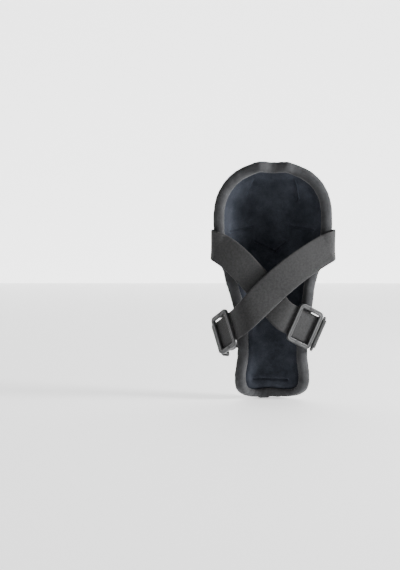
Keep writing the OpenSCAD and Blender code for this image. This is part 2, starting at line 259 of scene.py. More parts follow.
# ---- materials ----
def new_material(name, colour, roughness, sheen=0.0, metallic=0.0, specular=0.5, coat=0.0):
    mat = bpy.data.materials.new(name)
    mat.use_nodes = True
    shader = mat.node_tree.nodes["Principled BSDF"]
    shader.inputs["Base Color"].default_value = (*colour, 1)
    shader.inputs["Roughness"].default_value = roughness
    shader.inputs["Metallic"].default_value = metallic
    shader.inputs["Specular IOR Level"].default_value = specular
    shader.inputs["Sheen Weight"].default_value = sheen
    shader.inputs["Sheen Roughness"].default_value = 0.45
    shader.inputs["Coat Weight"].default_value = coat
    return mat, mat.node_tree, shader


def node(tree, kind, **inputs):
    n = tree.nodes.new(kind)
    for key, value in inputs.items():
        n.inputs[key.replace("_", " ")].default_value = value
    return n


def coloured_noise(tree, coord, scale, dark, light, detail=6.0, spread=(0.3, 0.7)):
    grain = node(tree, "ShaderNodeTexNoise", Scale=scale, Detail=detail, Roughness=0.6)
    ramp = tree.nodes.new("ShaderNodeValToRGB")
    ramp.color_ramp.elements[0].position, ramp.color_ramp.elements[1].position = spread
    ramp.color_ramp.elements[0].color = (*dark, 1)
    ramp.color_ramp.elements[1].color = (*light, 1)
    tree.links.new(coord, grain.inputs["Vector"])
    tree.links.new(grain.outputs["Fac"], ramp.inputs["Fac"])
    return grain, ramp


def mix_colour(tree, a, b, fac, mode="MIX"):
    m = tree.nodes.new("ShaderNodeMix")
    m.data_type = "RGBA"
    m.blend_type = mode
    m.inputs["Factor"].default_value = fac
    tree.links.new(a, m.inputs["A"])
    tree.links.new(b, m.inputs["B"])
    return m.outputs["Result"]


def bump(tree, shader, height, strength, distance, below=None):
    b = node(tree, "ShaderNodeBump", Strength=strength, Distance=distance)
    tree.links.new(height, b.inputs["Height"])
    if below is not None:
        tree.links.new(below, b.inputs["Normal"])
    tree.links.new(b.outputs["Normal"], shader.inputs["Normal"])
    return b.outputs["Normal"]


def velour():
    """Brushed lining: short nap with soft lighter patches where it has been stroked."""
    mat, tree, shader = new_material("velour", (0.02, 0.024, 0.034), 0.92, sheen=0.35, specular=0.15)
    shader.inputs["Sheen Tint"].default_value = (0.5, 0.58, 0.75, 1)
    coord = node(tree, "ShaderNodeTexCoord").outputs["Object"]
    _, patches = coloured_noise(tree, coord, 38, (0.008, 0.0095, 0.013), (0.036, 0.04, 0.049), 5)
    nap, specks = coloured_noise(tree, coord, 1500, (0.5, 0.5, 0.52), (1.35, 1.38, 1.45), 2)
    colour = mix_colour(tree, patches.outputs["Color"], specks.outputs["Color"], 0.8, "MULTIPLY")
    tree.links.new(colour, shader.inputs["Base Color"])
    bump(tree, shader, nap.outputs["Fac"], 0.35, 0.0006)
    return mat


def woven(name, dark, light, across, along, roughness=0.8, sheen=0.15, strength=0.6):
    """Woven webbing laid out in the piece's own UV, u along it and v across it, in metres."""
    mat, tree, shader = new_material(name, light, roughness, sheen=sheen, specular=0.25)
    uv = node(tree, "ShaderNodeTexCoord").outputs["UV"]
    obj = node(tree, "ShaderNodeTexCoord").outputs["Object"]
    split = tree.nodes.new("ShaderNodeSeparateXYZ")
    tree.links.new(uv, split.inputs["Vector"])

    def wave(source, pitch):
        scaled = tree.nodes.new("ShaderNodeMath")
        scaled.operation = "MULTIPLY"
        scaled.inputs[1].default_value = 2 * math.pi / pitch
        sine = tree.nodes.new("ShaderNodeMath")
        sine.operation = "SINE"
        tree.links.new(source, scaled.inputs[0])
        tree.links.new(scaled.outputs[0], sine.inputs[0])
        return sine.outputs[0]

    ribs, cords = wave(split.outputs["X"], along), wave(split.outputs["Y"], across)
    cross = tree.nodes.new("ShaderNodeMath")
    cross.operation = "MULTIPLY"
    tree.links.new(ribs, cross.inputs[0])
    tree.links.new(cords, cross.inputs[1])
    level = tree.nodes.new("ShaderNodeMapRange")
    level.inputs["From Min"].default_value = -1
    tree.links.new(cross.outputs[0], level.inputs["Value"])
    _, base = coloured_noise(tree, obj, 420, dark, light, 4, (0.25, 0.75))
    weave = tree.nodes.new("ShaderNodeValToRGB")
    weave.color_ramp.elements[0].color = (0.6, 0.6, 0.6, 1)
    weave.color_ramp.elements[1].color = (1.15, 1.15, 1.15, 1)
    tree.links.new(level.outputs[0], weave.inputs["Fac"])
    colour = mix_colour(tree, base.outputs["Color"], weave.outputs["Color"], 0.8, "MULTIPLY")
    tree.links.new(colour, shader.inputs["Base Color"])
    bump(tree, shader, level.outputs[0], strength, 0.0003)
    return mat


def cloth(name, dark, light, grain_scale=900, roughness=0.85, strength=0.5, sheen=0.2):
    """Close-woven tape or cover, worked out in the object's own space."""
    mat, tree, shader = new_material(name, light, roughness, sheen=sheen, specular=0.25)
    coord = node(tree, "ShaderNodeTexCoord").outputs["Object"]
    _, tone = coloured_noise(tree, coord, 60, dark, light, 5)
    fine, specks = coloured_noise(tree, coord, grain_scale, (0.62, 0.62, 0.62), (1.25, 1.25, 1.25), 3)
    colour = mix_colour(tree, tone.outputs["Color"], specks.outputs["Color"], 0.7, "MULTIPLY")
    tree.links.new(colour, shader.inputs["Base Color"])
    bump(tree, shader, fine.outputs["Fac"], strength, 0.0005)
    return mat


def moulded(name, dark, light, roughness=0.42, grain=700, strength=0.12, coat=0.0):
    """Moulded plastic with a fine spark-eroded grain, and scuffs that change its gloss."""
    mat, tree, shader = new_material(name, light, roughness, specular=0.5, coat=coat)
    coord = node(tree, "ShaderNodeTexCoord").outputs["Object"]
    _, tone = coloured_noise(tree, coord, 45, dark, light, 6)
    tree.links.new(tone.outputs["Color"], shader.inputs["Base Color"])
    scuff = node(tree, "ShaderNodeTexNoise", Scale=90.0, Detail=8.0)
    gloss = tree.nodes.new("ShaderNodeMapRange")
    gloss.inputs["To Min"].default_value = roughness - 0.1
    gloss.inputs["To Max"].default_value = roughness + 0.14
    tree.links.new(coord, scuff.inputs["Vector"])
    tree.links.new(scuff.outputs["Fac"], gloss.inputs["Value"])
    tree.links.new(gloss.outputs[0], shader.inputs["Roughness"])
    fine = node(tree, "ShaderNodeTexNoise", Scale=float(grain), Detail=3.0)
    tree.links.new(coord, fine.inputs["Vector"])
    bump(tree, shader, fine.outputs["Fac"], strength, 0.0002)
    return mat


def metal(name, colour, roughness):
    mat, tree, shader = new_material(name, colour, roughness, metallic=1.0)
    coord = node(tree, "ShaderNodeTexCoord").outputs["Object"]
    _, tone = coloured_noise(tree, coord, 300, tuple(c * 0.6 for c in colour), colour, 6)
    tree.links.new(tone.outputs["Color"], shader.inputs["Base Color"])
    return mat


MATERIALS = {
    "lining": velour(),
    "binding": cloth("binding_tape", (0.02, 0.0205, 0.022), (0.042, 0.043, 0.046)),
    "cover": cloth("outer_cover", (0.012, 0.012, 0.014), (0.028, 0.028, 0.031), 1300),
    "foam": cloth("foam_core", (0.02, 0.02, 0.02), (0.035, 0.035, 0.035), 700),
    "elastic": woven("strap_elastic", (0.019, 0.019, 0.0195), (0.038, 0.038, 0.039), 1.1 * MM, 0.9 * MM),
    "webbing": woven("tab_webbing", (0.03, 0.03, 0.031), (0.05, 0.05, 0.052), 1.6 * MM, 1.2 * MM),
    "thread": cloth("thread", (0.008, 0.008, 0.009), (0.02, 0.02, 0.022), 2500),
    "buckle": moulded("buckle_plastic", (0.018, 0.0185, 0.0195), (0.03, 0.031, 0.032), 0.34),
    "plate": moulded("plate_plastic", (0.012, 0.012, 0.013), (0.02, 0.02, 0.022), 0.48, 500, 0.25),
    "ring": moulded("coated_wire", (0.01, 0.01, 0.011), (0.02, 0.02, 0.022), 0.28, 400, 0.08, 0.3),
    "rivet": metal("dark_zinc", (0.32, 0.32, 0.33), 0.38),
}


def finish_piece(obj, material, body=None, replaces=()):
    obj.data.materials.clear()
    obj.data.materials.append(MATERIALS[material])
    if replaces:
        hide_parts(*replaces)
    if body:
        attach(obj, body)
    else:
        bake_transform(obj)
    return obj


# ---- soft pad: lining, foam core, outer cover ----
def segment_distance(x, z, a, b):
    p, a, b = Vector((x, z)), Vector(a), Vector(b)
    f = max(0.0, min(1.0, (p - a).dot(b - a) / (b - a).length_squared))
    return (p - a.lerp(b, f)).length


# Sewn darts, seams and creases of the lining: ends [x, z], depth and half width
CREASES = [
    ((30 * MM, 293 * MM), (39 * MM, 262 * MM), 4.2 * MM, 2.6 * MM),
    ((-24 * MM, 293 * MM), (-34 * MM, 266 * MM), 2.0 * MM, 3.2 * MM),
    ((-62 * MM, 215 * MM), (-28 * MM, 222 * MM), 3.2 * MM, 1.8 * MM),
    ((62 * MM, 217 * MM), (30 * MM, 223 * MM), 3.0 * MM, 1.8 * MM),
    ((-24 * MM, 202 * MM), (7 * MM, 188 * MM), 3.0 * MM, 1.7 * MM),
    ((7 * MM, 188 * MM), (24 * MM, 201 * MM), 3.0 * MM, 1.7 * MM),
    ((-30 * MM, 24 * MM), (26 * MM, 23 * MM), 2.2 * MM, 1.6 * MM),
    ((-8 * MM, 178 * MM), (14 * MM, 172 * MM), 0.9 * MM, 2.6 * MM),
    ((-40 * MM, 168 * MM), (-18 * MM, 150 * MM), 1.0 * MM, 3.0 * MM),
    ((36 * MM, 166 * MM), (20 * MM, 148 * MM), 1.0 * MM, 3.0 * MM),
]


TAPE_EDGE = 4 * MM        # how far the tape's edge reaches over the lining


def lining_relief(x, z):
    """How far the lining sinks (+) or swells (-) at a place: seams, then the foam's soft waves."""
    sink = sum(d * math.exp(-(segment_distance(x, z, a, b) / w) ** 2) for a, b, d, w in CREASES)
    wave = noise.noise(Vector((x, z, 0.31)) * 26) * 1.5 + noise.noise(Vector((x, z, 4.7)) * 75) * 0.6
    long_fold = noise.noise(Vector((x * 60, z * 14, 9.1))) * 0.7
    return sink + (wave + long_fold) * MM


def ring_grid(steps, reach_in, face):
    """Rings of points from the rim inwards to the spine; face(place, distance in) gives each point."""
    rings = []
    for i in range(STATIONS):
        start = inset(i, reach_in)
        q = spine_of(RIM[i])
        reach = (q - start).length
        rings.append([face(start.lerp(q, j / steps), reach * j / steps) for j in range(steps + 1)])
    return rings


def pad_skin(name, outer_face, inner_face, steps, reach_in):
    """A closed layer of the pad between two faces, its edge tucked under the binding."""
    top = ring_grid(steps, reach_in, outer_face)
    low = ring_grid(steps, reach_in, inner_face)
    rings = [t + list(reversed(l)) for t, l in zip(top, low)]
    k = len(rings[0])
    half = steps + 1
    verts = [p for ring in rings for p in ring]
    faces = []
    for i in range(STATIONS):
        j = (i + 1) % STATIONS
        for a in list(range(half - 1)) + list(range(half, k - 1)):
            faces.append((i * k + a, j * k + a, j * k + a + 1, i * k + a + 1))
        faces.append((i * k, j * k, j * k + k - 1, i * k + k - 1))
    obj = make_object(name, verts, faces)
    return obj


def edge_roll(reach):
    """Sinks the lining beside the binding, where the stitching pulls it down."""
    return 3.4 * MM * math.exp(-(max(0.0, reach - TAPE_EDGE) / (3 * MM)) ** 2)


def build_pad():
    tuck = BIND_W - 4 * MM
    lining = pad_skin(
        "pad_lining",
        lambda p, s: on_pad(p[0], p[1], -PAD_T - 1.0 * MM + lining_relief(p[0], p[1]) * smooth(s / (12 * MM))
                            + edge_roll(s)),
        lambda p, s: on_pad(p[0], p[1], -PAD_T + 4.9 * MM), 56, tuck)
    finish_piece(lining, "lining", replaces=("forearm_lining", "cup_lining"))
    foam = pad_skin(
        "pad_foam",
        lambda p, s: on_pad(p[0], p[1], -PAD_T + 5 * MM),
        lambda p, s: on_pad(p[0], p[1], -2 * MM), 14, BIND_W - 3 * MM)
    finish_piece(foam, "foam", replaces=("forearm_foam", "cup_foam"))
    cover = pad_skin(
        "pad_cover",
        lambda p, s: on_pad(p[0], p[1], -1.6 * MM),
        lambda p, s: on_pad(p[0], p[1], (noise.noise(Vector((p[0], p[1], 2.2)) * 45) * 0.35 - 0.35) * MM),
        36, tuck)
    finish_piece(cover, "cover", replaces=("forearm_cover", "cup_cover"))
    return lining, foam, cover


# ---- binding tape ----
# Half section of the folded tape: distance m inside the rim, offset t from the cover
TAPE = [(11.0, -9.9), (10.7, -10.9), (8.4, -12.2), (6.0, -12.4), (3.4, -12.1), (1.2, -11.2), (-0.4, -9.2),
        (-1.2, -5.6), (-1.2, -3.6), (-0.7, -1.5), (0.4, 0.1), (2.0, 0.8), (4.4, 1.0), (7.0, 1.0), (9.4, 0.9),
        (11.0, 0.5)]
TAPE_THICK = 0.9 * MM
LAP_AT = -11 * MM         # where the tape's two ends overlap at the wrist end
LAP_HALF = 7 * MM
STITCH_M = 9.0 * MM
STITCH_PITCH = 4.2 * MM


def rim_frame(i):
    """The way out of the pad over its edge at rim station i, as a unit vector."""
    p, q = RIM[i], inset(i, 3 * MM)
    edge, inner = on_pad(p[0], p[1], 0), on_pad(q[0], q[1], 0)
    return (edge - inner).normalized()


def lap_share(i):
    p = RIM[i]
    near = p[1] < 4 * MM
    return smooth((LAP_HALF - abs(p[0] - LAP_AT)) / (0.6 * MM)) if near else 0.0


def tape_point(i, m, t, out_dir):
    pucker = noise.noise(Vector((i * 0.55, t * 90, 3.3))) * 0.5 * MM
    drift = noise.noise(Vector((i * 0.1, 7.7, 0.0))) * 1.1
    waver = noise.noise(Vector((i * 0.7, 1.7, 0.0))) * 0.5
    slow = (drift + waver) * MM
    swell = pucker + lap_share(i) * 1.3 * MM
    place = inset(i, max(m, 0) + (slow if m > 8 * MM else 0))
    base = on_pad(place[0], place[1], t - swell if t < -PAD_T / 2 else t + swell)
    return base + out_dir * (max(-m, 0) + (swell if m < 0 else 0))


def build_binding():
    rings = []
    for i in range(STATIONS):
        out_dir = rim_frame(i)
        skin = [tape_point(i, m * MM, t * MM, out_dir) for m, t in TAPE]
        under = []
        for m, t in reversed(TAPE):
            inner_t = max(min(t * MM, -TAPE_THICK - 0.1 * MM), -PAD_T + TAPE_THICK - 0.5 * MM)
            under.append(tape_point(i, max(m, 0.0) * MM + 0.6 * MM * (m < 2), inner_t, out_dir))
        rings.append(skin + under)
    tape = sweep("edge_binding", rings, closed=True)
    add_modifier(tape, "SUBSURF", levels=1, render_levels=1)
    apply_modifiers(tape)
    return finish_piece(tape, "binding", replaces=("forearm_binding", "cup_binding"))


def stitch_row(name, points, normals, pitch, length, radius):
    """Short raised threads along a line of points."""
    verts, faces = [], []
    line = [Vector(p) for p in points]
    far = [0.0]
    for a, b in zip(line, line[1:]):
        far.append(far[-1] + (b - a).length)

    def at(d):
        for k in range(len(line) - 1):
            if far[k + 1] >= d:
                f = (d - far[k]) / max(far[k + 1] - far[k], 1e-9)
                return line[k].lerp(line[k + 1], f), normals[k].lerp(normals[k + 1], f).normalized()
        return line[-1], normals[-1]

    count = int(far[-1] / pitch)
    for s in range(count):
        a, na = at(s * pitch + 0.1 * pitch)
        b = at(s * pitch + 0.1 * pitch + length)[0]
        way = b - a
        if way.length < 1e-5:
            continue
        side = way.cross(na).normalized()
        first = len(verts)
        for f, size in ((0.0, 0.25), (0.15, 0.8), (0.5, 1.0), (0.85, 0.8), (1.0, 0.25)):
            mid = a + way * f + na * radius * 0.9 * math.sin(math.pi * f)
            for k in range(6):
                ang = math.tau * k / 6
                verts.append(mid + (side * math.cos(ang) + na * math.sin(ang)) * radius * size)
        for r in range(4):
            for k in range(6):
                faces.append((first + r * 6 + k, first + r * 6 + (k + 1) % 6,
                              first + (r + 1) * 6 + (k + 1) % 6, first + (r + 1) * 6 + k))
        faces.append(tuple(first + k for k in range(5, -1, -1)))
        faces.append(tuple(first + 24 + k for k in range(6)))
    return make_object(name, verts, faces)


def build_binding_stitches():
    inner, outer, n_in, n_out = [], [], [], []
    for i in list(range(STATIONS)) + [0]:
        p = inset(i, STITCH_M)
        n = normal(p[0], p[1])
        inner.append(on_pad(p[0], p[1], -PAD_T - 1.45 * MM))
        outer.append(on_pad(p[0], p[1], 1.05 * MM))
        n_in.append(-n)
        n_out.append(n)
    rows = (("binding_stitches_inside", inner, n_in), ("binding_stitches_outside", outer, n_out))
    for name, line, ns in rows:
        piece = stitch_row(name, line, ns, STITCH_PITCH, 2.9 * MM, 0.34 * MM)
        finish_piece(piece, "thread")


def seam_stitches(name, ends, lift):
    """Stitches along one of the lining's seams."""
    (x0, z0), (x1, z1) = ends
    line, ns = [], []
    for k in range(25):
        x, z = x0 + (x1 - x0) * k / 24, z0 + (z1 - z0) * k / 24
        line.append(on_pad(x, z, -PAD_T - 0.4 * MM + lining_relief(x, z) - lift))
        ns.append(-normal(x, z))
    piece = stitch_row(name, line, ns, 3.6 * MM, 2.6 * MM, 0.3 * MM)
    return finish_piece(piece, "thread")


# ---- straps ----
BUCKLE_L, BAR_W, BAR_T = 36 * MM, 5.5 * MM, 4 * MM
BUCKLE_HALF = BUCKLE_L / 2
RUN_UP, RUN_ON, RING_X = BUCKLE_HALF + 6 * MM, 21 * MM, 24 * MM
WIRE_D, RING_L = 4 * MM, 13 * MM
TURN_R = WIRE_D / 2 + 0.2 * MM + STRAP_T / 2
WINDOW_W = STRAP_W + 2 * MM
GROOVE = 0.12 * MM        # depth of the groove along a buckle bar's front
MIDDLE_W, MIDDLE_T, LOOP_T, SLOT_GAP = 5 * MM, 3 * MM, 1.4 * MM, 0.3 * MM
MIDDLE_Z = STRAP_T / 2 + SLOT_GAP + LOOP_T + SLOT_GAP


def along(h, a):
    h, a = math.radians(h), math.radians(a)
    return Vector((math.cos(h) * math.cos(a), math.sin(h) * math.cos(a), math.sin(a)))


def across(h, a):
    h, a = math.radians(h), math.radians(a)
    return Vector((-math.cos(h) * math.sin(a), -math.sin(h) * math.sin(a), math.cos(a)))


class Side:
    """One strap's own figures, worked out as it runs towards -X; the right one is mirrored."""

    def __init__(self, name, flip, off, y, z, heading, slope, cross, cross_slope, lean, seat_wrap):
        self.name, self.flip = name, flip
        self.at = (Vector((-half_w(z) - off, y, z)), heading, slope)
        self.cross, self.cross_slope = Vector(cross), cross_slope
        self.lean, self.seat_wrap = math.radians(lean), math.radians(seat_wrap)
        self.t, self.b = along(heading, slope), across(heading, slope)
        self.n = self.t.cross(self.b)

    def place(self, points):
        return [Vector((-p[0], p[1], p[2])) if self.flip else p for p in points]

    def local(self, x, y, z):
        return self.at[0] + self.t * x + self.b * y + self.n * z


LEFT = Side("left", False, 14 * MM, -5 * MM, 88 * MM, 125, -28, (1 * MM, -24 * MM, CROSS_Z), -42, 70, 62)
RIGHT = Side("right", True, -9 * MM, -17 * MM, 96 * MM, 160, -26, (14 * MM, -16 * MM, CROSS_Z - 4 * MM),
             -46, 62, 62)
STRAP_STAND = 3.7 * MM
FOLD_X = half_w(STRAP_Z + STRAP_W / 2) + 2.4 * MM


def sewn_key(angle, slope, dz):
    r = sec_r(STRAP_Z) + STRAP_STAND
    back = sec_r(STRAP_Z) * math.cos(wrap(STRAP_Z))
    a = math.radians(angle)
    return (Vector((r * math.sin(a), r * math.cos(a) - back, STRAP_Z + dz)), 360 - angle, slope)


def strap_keys(side):
    at, h, a = side.at
    wrap_deg = math.degrees(CUP_WRAP)
    return [sewn_key(54, 0, 1 * MM), sewn_key(wrap_deg - 8, -5, 0.6 * MM),
            (Vector((FOLD_X, -1 * MM, STRAP_Z + 0.3 * MM)), 268, -14),
            (Vector((FOLD_X - 9 * MM, -9 * MM, STRAP_Z - 4 * MM)), 195, -28),
            (side.cross, 180, side.cross_slope),
            (at - side.t * RUN_UP, h, a), (at + side.t * RUN_ON, h, a)]


def bend(k0, k1, n):
    """Stations of a cubic curve between two keys."""
    d = (k1[0] - k0[0]).length * 0.36
    a, b = k0[0], k0[0] + along(k0[1], k0[2]) * d
    c, e = k1[0] - along(k1[1], k1[2]) * d, k1[0]
    out = []
    for i in range(n):
        t = i / n
        u = 1 - t
        out.append((a * u ** 3 + b * (3 * u * u * t) + c * (3 * u * t * t) + e * t ** 3,
                    k0[1] + (k1[1] - k0[1]) * t, k0[2] + (k1[2] - k0[2]) * t))
    return out


def strap_stations(side):
    keys, out = strap_keys(side), []
    for (k0, k1), n in zip(zip(keys, keys[1:]), (10, 8, 12, 22, 22, 12)):
        out += bend(k0, k1, n)
    return out + [keys[-1]]


def band(name, frames, width, thick, wavy=0.0, seed=0.0):
    """Flat webbing along frames (centre, width direction, thickness direction), with its own UV in metres."""
    cols = 14
    section = [(-0.5 + k / cols, -0.5) for k in range(cols + 1)]
    section += [(0.5 - k / cols, 0.5) for k in range(cols + 1)]
    rings, us, far = [], [], 0.0
    last = None
    for c, b, n in frames:
        if last is not None:
            far += (c - last).length
        last = c
        ring = []
        for v, s in section:
            lip = 0.72 if abs(v) > 0.49 else (1.12 if abs(v) > 0.42 else 1.0)
            wave = noise.noise(Vector((far * 30, v * 1.3, seed))) * wavy
            ring.append(c + b * (v * width) + n * (s * thick * lip + wave))
        rings.append(ring)
        us.append(far)
    obj = sweep(name, rings)
    lay_uv(obj, frames, us)
    return obj


def lay_uv(obj, frames, us):
    """UV in metres: u is the nearest station's distance along the band, v the place across it."""
    layer = obj.data.uv_layers.new(name="UVMap")
    uv_of = []
    for vert in obj.data.vertices:
        best, best_d = 0, 1e9
        for k in range(len(frames)):
            d = (frames[k][0] - vert.co).length_squared
            along_k = abs((vert.co - frames[k][0]).dot(frames[k][1].cross(frames[k][2])))
            if along_k + d * 4 < best_d:
                best, best_d = k, along_k + d * 4
        c, b, n = frames[best]
        uv_of.append((us[best] + (vert.co - c).dot(b.cross(n)), (vert.co - c).dot(b)))
    for loop in obj.data.loops:
        layer.data[loop.index].uv = uv_of[loop.vertex_index]


def mirror_piece(side, obj):
    if side.flip:
        obj.data.transform(Matrix.Scale(-1, 4, (1, 0, 0)))
        obj.data.flip_normals()
    return obj


def finish_side(side, obj, material, body, replaces=()):
    return finish_piece(mirror_piece(side, obj), material, body, replaces)


def build_strap(side):
    frames = []
    for c, h, a in strap_stations(side):
        t, b = along(h, a), across(h, a)
        frames.append((c, b, t.cross(b)))
    strap = band("strap_" + side.name + "_elastic", frames, STRAP_W, STRAP_T, 0.25 * MM, 3.0 + side.flip)
    add_modifier(strap, "SUBSURF", levels=1, render_levels=1)
    apply_modifiers(strap)
    finish_side(side, strap, "elastic", "forearm", ("strap_" + side.name,))


def build_strap_turn(side):
    """The strap's turn round the ring's near bar."""
    frames = []
    for k in range(17):
        a = math.pi * k / 16
        x, z = RING_X + TURN_R * math.sin(a), TURN_R - TURN_R * math.cos(a)
        frames.append((side.local(x, 0, z), side.b, side.n * math.cos(a) - side.t * math.sin(a)))
    lead = [(side.local(RING_X - d, 0, 0), side.b, side.n) for d in (2.6 * MM, 1.2 * MM)]
    tail = [(side.local(RING_X - d, 0, 2 * TURN_R), side.b, -side.n) for d in (2 * MM, 5 * MM, 9 * MM)]
    turn = band("strap_" + side.name + "_turn", lead + frames + tail, STRAP_W, STRAP_T)
    finish_side(side, turn, "elastic", "ring_" + side.name, ("strap_turn_" + side.name,))


def build_strap_end(side):
    """The strap's end, folded round the buckle's middle bar and sewn to itself."""
    gap = 0.15 * MM + LOOP_T / 2
    hx, z0, z1 = MIDDLE_W / 2 + gap, MIDDLE_Z - gap, MIDDLE_Z + MIDDLE_T + gap
    r = 1.4 * MM
    path = [(hx + 5 * MM, z1 - 0.1 * MM, 0, 1), (hx, z1, 0, 1)]
    corners = [(-hx + r, z1 - r, 90), (-hx + r, z0 + r, 180), (hx - r, z0 + r, 270)]
    for cx, cz, a0 in corners:
        for k in range(5):
            a = math.radians(a0 + 90 * k / 4)
            path.append((cx + r * math.cos(a), cz + r * math.sin(a), math.cos(a), math.sin(a)))
    path += [(hx, z0 + r + 1.2 * MM, 1, 0)]
    frames = [(side.local(x, 0, z), side.b, (side.t * nx + side.n * nz)) for x, z, nx, nz in path]
    end = band("strap_" + side.name + "_sewn_end", frames, STRAP_W, LOOP_T)
    finish_side(side, end, "elastic", "buckle_" + side.name, ("strap_end_" + side.name,))


# ---- buckles and rings ----
def rounded_path(l, w, r, step=5):
    """A rounded rectangle's points with their outward directions, l along X and w along Y."""
    out = []
    for cx, cy, a0 in ((1, 1, 0), (-1, 1, 90), (-1, -1, 180), (1, -1, 270)):
        for k in range(step + 1):
            a = math.radians(a0 + 90 * k / step)
            d = Vector((math.cos(a), math.sin(a)))
            out.append((Vector((cx * (l / 2 - r), cy * (w / 2 - r))) + d * r, d))
    return out


def bar_section(w, t):
    """A buckle bar's section: rounded edges and a shallow groove along its front. (out, height)"""
    e = 0.9 * MM
    return [(-w / 2, -t / 2 + e), (-w / 2 + e * 0.3, -t / 2 + e * 0.3), (-w / 2 + e, -t / 2),
            (-w * 0.16, -t / 2), (-w * 0.1, -t / 2 + GROOVE), (w * 0.1, -t / 2 + GROOVE), (w * 0.16, -t / 2),
            (w / 2 - e, -t / 2), (w / 2 - e * 0.3, -t / 2 + e * 0.3), (w / 2, -t / 2 + e),
            (w / 2, t / 2 - e), (w / 2 - e * 0.3, t / 2 - e * 0.3), (w / 2 - e, t / 2),
            (-w / 2 + e, t / 2), (-w / 2 + e * 0.3, t / 2 - e * 0.3), (-w / 2, t / 2 - e)]


def box_mesh(bm, side, lo, hi):
    corners = [side.local(x, y, z) for x in (lo[0], hi[0]) for y in (lo[1], hi[1]) for z in (lo[2], hi[2])]
    vs = [bm.verts.new(c) for c in corners]
    for f in ((0, 1, 3, 2), (4, 6, 7, 5), (0, 4, 5, 1), (2, 3, 7, 6), (0, 2, 6, 4), (1, 5, 7, 3)):
        bm.faces.new([vs[i] for i in f])


def build_buckle(side):
    """Slider: a grooved rectangular frame, with its middle bar hung behind on two side lugs."""
    mid_z = -STRAP_T / 2 - SLOT_GAP - BAR_T / 2
    outer_w = WINDOW_W + 2 * BAR_W
    rings = []
    for p, d in rounded_path(BUCKLE_L - BAR_W, outer_w - BAR_W, 3.4 * MM, 7):
        rings.append([side.local(p[0] + d[0] * o, p[1] + d[1] * o, mid_z + h)
                      for o, h in bar_section(BAR_W, BAR_T)])
    ring_obj = sweep("buckle_" + side.name + "_frame", rings, closed=True)
    add_modifier(ring_obj, "BEVEL", width=0.25 * MM, segments=2, limit_method="ANGLE")
    apply_modifiers(ring_obj)
    finish_side(side, ring_obj, "buckle", "buckle_" + side.name, ("buckle_" + side.name,))
    bm = bmesh.new()
    lug = (WINDOW_W + BAR_W) / 2
    for s in (-1, 1):
        lo_y, hi_y = sorted((s * (lug - BAR_W * 0.42), s * (lug + BAR_W * 0.42)))
        box_mesh(bm, side, (-4.5 * MM, lo_y, mid_z - BAR_T / 2 - 0.35 * MM),
                 (4.5 * MM, hi_y, MIDDLE_Z + MIDDLE_T))
    box_mesh(bm, side, (-MIDDLE_W / 2, -lug + BAR_W * 0.3, MIDDLE_Z), (MIDDLE_W / 2, lug - BAR_W * 0.3,
                                                                       MIDDLE_Z + MIDDLE_T))
    mesh = bpy.data.meshes.new("lugs")
    bmesh.ops.recalc_face_normals(bm, faces=bm.faces)
    bm.to_mesh(mesh)
    bm.free()
    lugs = bpy.data.objects.new("buckle_" + side.name + "_middle_bar", mesh)
    bpy.context.scene.collection.objects.link(lugs)
    add_modifier(lugs, "BEVEL", width=0.8 * MM, segments=4, limit_method="ANGLE")
    apply_modifiers(lugs)
    finish_side(side, lugs, "buckle", "buckle_" + side.name)


def ring_point(side, along_ring, y, above):
    """A point in the ring's own leaning plane."""
    c, s = math.cos(side.lean), math.sin(side.lean)
    return side.local(RING_X + along_ring * c - above * s, y, TURN_R + along_ring * s + above * c)


def build_ring(side):
    half = STRAP_W / 2 + 1 * MM + WIRE_D / 2
    rings = []
    for p, d in rounded_path(RING_L, 2 * half, 2.2 * MM, 8):
        ring = []
        for k in range(16):
            a = math.tau * k / 16
            o, h = math.cos(a) * WIRE_D / 2, math.sin(a) * WIRE_D / 2
            ring.append(ring_point(side, RING_L / 2 + p[0] + d[0] * o, p[1] + d[1] * o, h))
        rings.append(ring)
    obj = sweep("ring_" + side.name + "_wire", rings, closed=True)
    finish_side(side, obj, "ring", "ring_" + side.name, ("ring_" + side.name,))


TAB_W, TAB_T, TAB_DROP, SEAT_WRAP = 26 * MM, 1.4 * MM, 9 * MM, math.radians(14)
SKIN_GAP = 0.9 * MM


def build_tab(side):
    """Webbing sewn flat on the cover, out to the ring's far bar, round it and back."""
    seat_z = side.at[0][2] - TAB_DROP
    r = sec_r(seat_z)

    def seat(angle, lift):
        x = -r * math.sin(angle)
        return on_pad(x, seat_z, SKIN_GAP + lift), normal(x, seat_z)

    bar = ring_point(side, RING_L, 0, 0)
    loop_r = WIRE_D / 2 + 0.1 * MM + TAB_T / 2
    first, _ = seat(side.seat_wrap, TAB_T / 2)
    away = first - bar
    away = (away - side.b * away.dot(side.b)).normalized()
    up = side.b.cross(away)
    frames = []
    for k in range(7):
        c, n = seat(side.seat_wrap - SEAT_WRAP * (1 - k / 6), TAB_T / 2)
        frames.append((c, Vector((0, 0, 1)), n))
    start = bar + up * loop_r + away * 1.0 * MM
    for k in range(1, 6):
        f = k / 6
        b = Vector((0, 0, 1)).lerp(side.b, smooth(f)).normalized()
        c = frames[6][0].lerp(start, f)
        n = frames[6][2].lerp(up, smooth(f))
        frames.append((c, b, (n - b * n.dot(b)).normalized()))
    for k in range(17):
        a = math.pi * k / 16
        d = up * math.cos(a) - away * math.sin(a)
        frames.append((bar + d * loop_r, side.b, d))
    frames.append((bar - up * loop_r * 0.62 + away * loop_r * 1.9, side.b, -up))
    tab = band("tab_" + side.name + "_webbing", frames, TAB_W, TAB_T)
    finish_side(side, tab, "webbing", "forearm", ("tab_" + side.name,))
    build_tab_stitches(side, seat_z)


